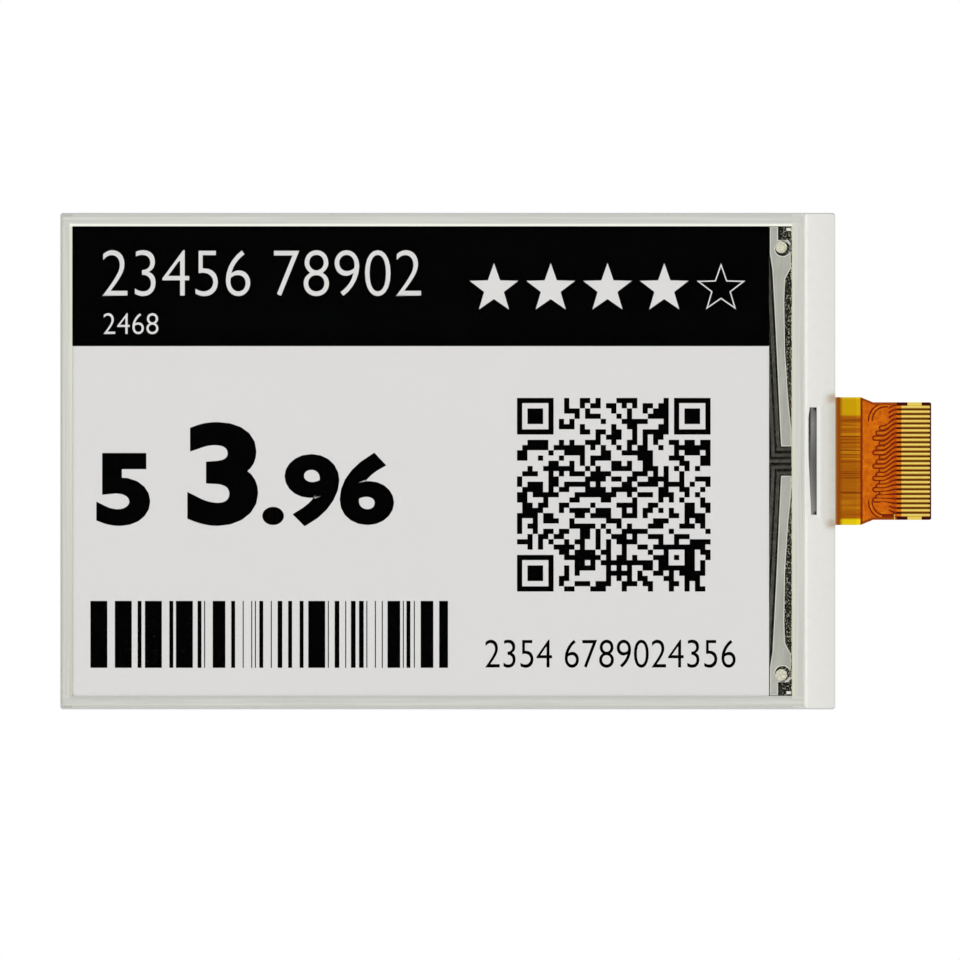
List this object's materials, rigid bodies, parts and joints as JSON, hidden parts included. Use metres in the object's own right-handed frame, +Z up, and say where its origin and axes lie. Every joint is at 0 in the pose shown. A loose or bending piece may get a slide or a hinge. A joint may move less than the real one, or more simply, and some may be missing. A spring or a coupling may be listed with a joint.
{
  "type": "e-paper display module",
  "caption": "Bare electronic paper panel: laminated ink film on glass with a chip on its right ledge and a flexible contact tail that folds behind the panel.",
  "frame": {"origin": "centre of the glass's back face, which is stuck to what carries the panel", "axes": "+X to the right across the screen, towards the flexible tail; +Y out of the back face, away from the viewer; +Z up the screen"},
  "size_m": [0.0926, 0.0009, 0.0528],
  "materials": {
    "glass": "ground edges, polished faces",
    "array": "dark semiconductor film",
    "bus_metal": "sputtered, satin",
    "track_metal": "sputtered, fine tracks",
    "transfer_paste": "cured silver paste",
    "clear_adhesive": "clear",
    "ink": "paper-like capsule layer",
    "clear_film": "clear polyester film",
    "seal": "cured edge sealant",
    "ledge_cover": "white protective coating",
    "silicon": "ground silicon",
    "bond_film": "conductive adhesive film",
    "copper": "copper seen through polyimide",
    "polyimide": "amber film",
    "cover_film": "orange cover film",
    "gold": "gold plated",
    "stiffener": "polyimide sheet"
  },
  "bodies": {
    "panel": {"tft_glass": "glass", "tft_array": "array", "common_bus_upper": "bus_metal", "common_bus_lower": "bus_metal", "fan_out_tracks": "track_metal", "alignment_marks": "bus_metal", "transfer_dots": "transfer_paste", "ink_adhesive": "clear_adhesive", "ink_film": "ink", "electrode_film": "clear_film", "optical_adhesive": "clear_adhesive", "protective_sheet": "clear_film", "edge_seal": "seal", "ledge_tracks": "track_metal", "driver_chip": "silicon", "driver_chip_bond": "bond_film", "ledge_cover": "ledge_cover", "glass_bond_pads": "track_metal", "flex_bond_film": "bond_film", "flex_root_film": "polyimide", "flex_root_conductors": "copper", "flex_root_back_cover": "cover_film"},
    "flex_inner": {"flex_bend_inner_film": "polyimide", "flex_bend_inner_conductors": "copper", "flex_bend_inner_back_cover": "cover_film"},
    "flex_outer": {"flex_bend_outer_film": "polyimide", "flex_bend_outer_conductors": "copper", "flex_bend_outer_back_cover": "cover_film"},
    "flex_tail": {"flex_tail_film": "polyimide", "flex_tail_back_conductors": "copper", "flex_tail_back_cover": "cover_film", "flex_vias": "gold", "flex_tail_front_conductors": "copper", "flex_tail_front_cover": "cover_film", "contact_fingers": "gold", "stiffener_adhesive": "bond_film", "flex_stiffener": "stiffener"}
  },
  "joints": [
    {"name": "fold_root", "type": "hinge", "parent": "panel", "child": "flex_inner", "pos_m": [0.04166, -0.00051, 0], "axis": [0, 0, 1], "range_deg": [0, 60], "stiffness_Nm_per_rad": 0.002},
    {"name": "fold_middle", "type": "hinge", "parent": "flex_inner", "child": "flex_outer", "pos_m": [0.04256, -0.00051, 0], "axis": [0, 0, 1], "range_deg": [0, 60], "stiffness_Nm_per_rad": 0.002},
    {"name": "fold_end", "type": "hinge", "parent": "flex_outer", "child": "flex_tail", "pos_m": [0.04346, -0.00051, 0], "axis": [0, 0, 1], "range_deg": [0, 60], "stiffness_Nm_per_rad": 0.002}
  ]
}
